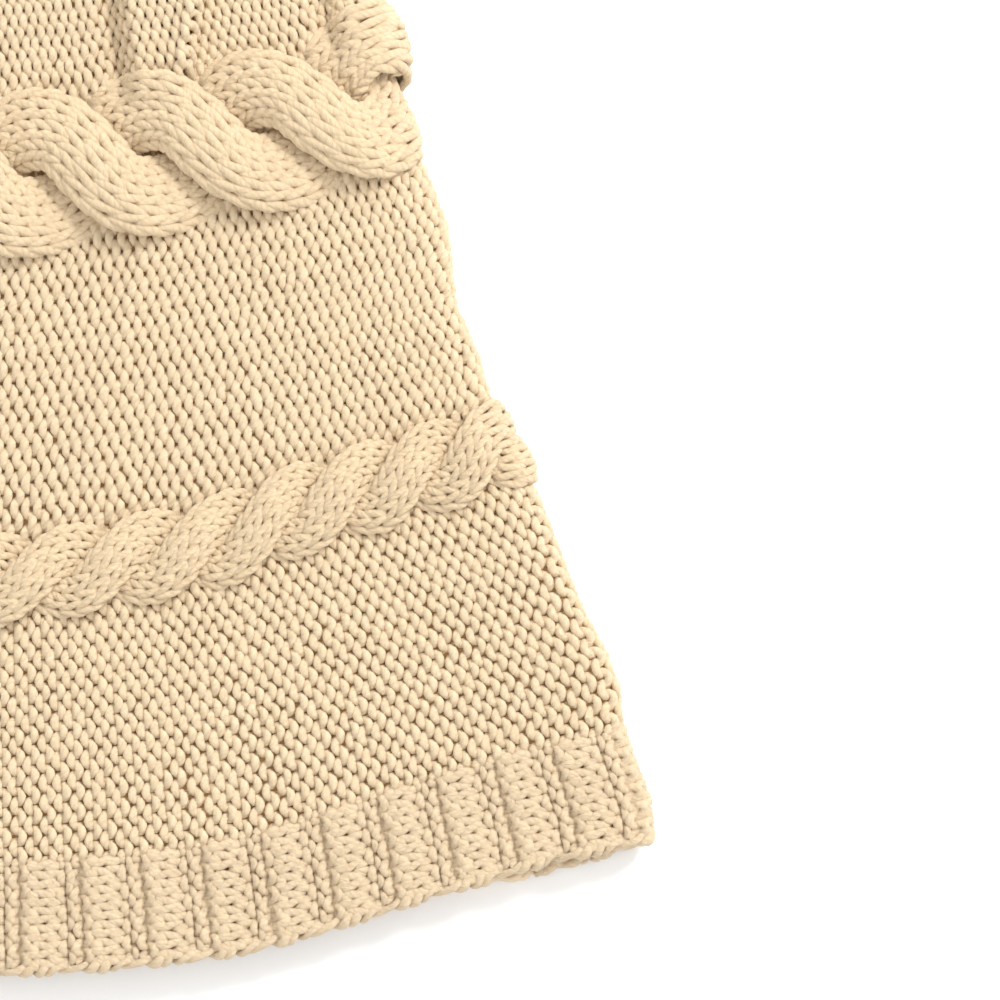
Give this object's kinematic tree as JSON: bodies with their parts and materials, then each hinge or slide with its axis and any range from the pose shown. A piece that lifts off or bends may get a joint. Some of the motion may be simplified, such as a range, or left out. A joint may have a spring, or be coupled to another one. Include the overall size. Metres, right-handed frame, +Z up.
{
  "type": "tree skirt",
  "caption": "Round cream cable-knit tree skirt with a welted hem and a buttoned slit, folded in half and lying flat.",
  "frame": {"origin": "centre of the trunk opening, on the surface that the folded skirt lies on", "axes": "+Z up, away from the surface; Y along the fold; the folded skirt lies on the -X side"},
  "size_m": [0.6097, 1.22, 0.0145],
  "materials": {
    "knit_ground": "matte knitted yarn, reverse stocking stitch",
    "knit_cable": "matte knitted yarn, cables",
    "knit_rib": "matte knitted yarn, ribbing",
    "button_wood": "satin",
    "thread": "matte sewing thread"
  },
  "bodies": {
    "lower_half": {"lower_front_collar": "knit_rib", "lower_front_inner_ground": "knit_ground", "lower_front_large_cable": "knit_cable", "lower_front_middle_ground": "knit_ground", "lower_front_small_cable": "knit_cable", "lower_front_outer_ground": "knit_ground", "lower_front_hem_welt": "knit_rib", "lower_back_collar": "knit_rib", "lower_back_inner_ground": "knit_ground", "lower_back_large_cable": "knit_cable", "lower_back_middle_ground": "knit_ground", "lower_back_small_cable": "knit_cable", "lower_back_outer_ground": "knit_ground", "lower_back_hem_welt": "knit_rib"},
    "upper_half": {"upper_front_collar": "knit_rib", "upper_front_inner_ground": "knit_ground", "upper_front_large_cable": "knit_cable", "upper_front_middle_ground": "knit_ground", "upper_front_small_cable": "knit_cable", "upper_front_outer_ground": "knit_ground", "upper_front_hem_welt": "knit_rib", "upper_back_collar": "knit_rib", "upper_back_inner_ground": "knit_ground", "upper_back_large_cable": "knit_cable", "upper_back_middle_ground": "knit_ground", "upper_back_small_cable": "knit_cable", "upper_back_outer_ground": "knit_ground", "upper_back_hem_welt": "knit_rib", "button_band": "knit_rib", "buttonhole_band": "knit_rib", "buttons": "button_wood", "button_threads": "thread"}
  },
  "joints": [
    {"name": "fold", "type": "hinge", "parent": "lower_half", "child": "upper_half", "pos_m": [0, 0, 0.00725], "axis": [0, 1, 0], "range_deg": [0, 179.5]}
  ]
}
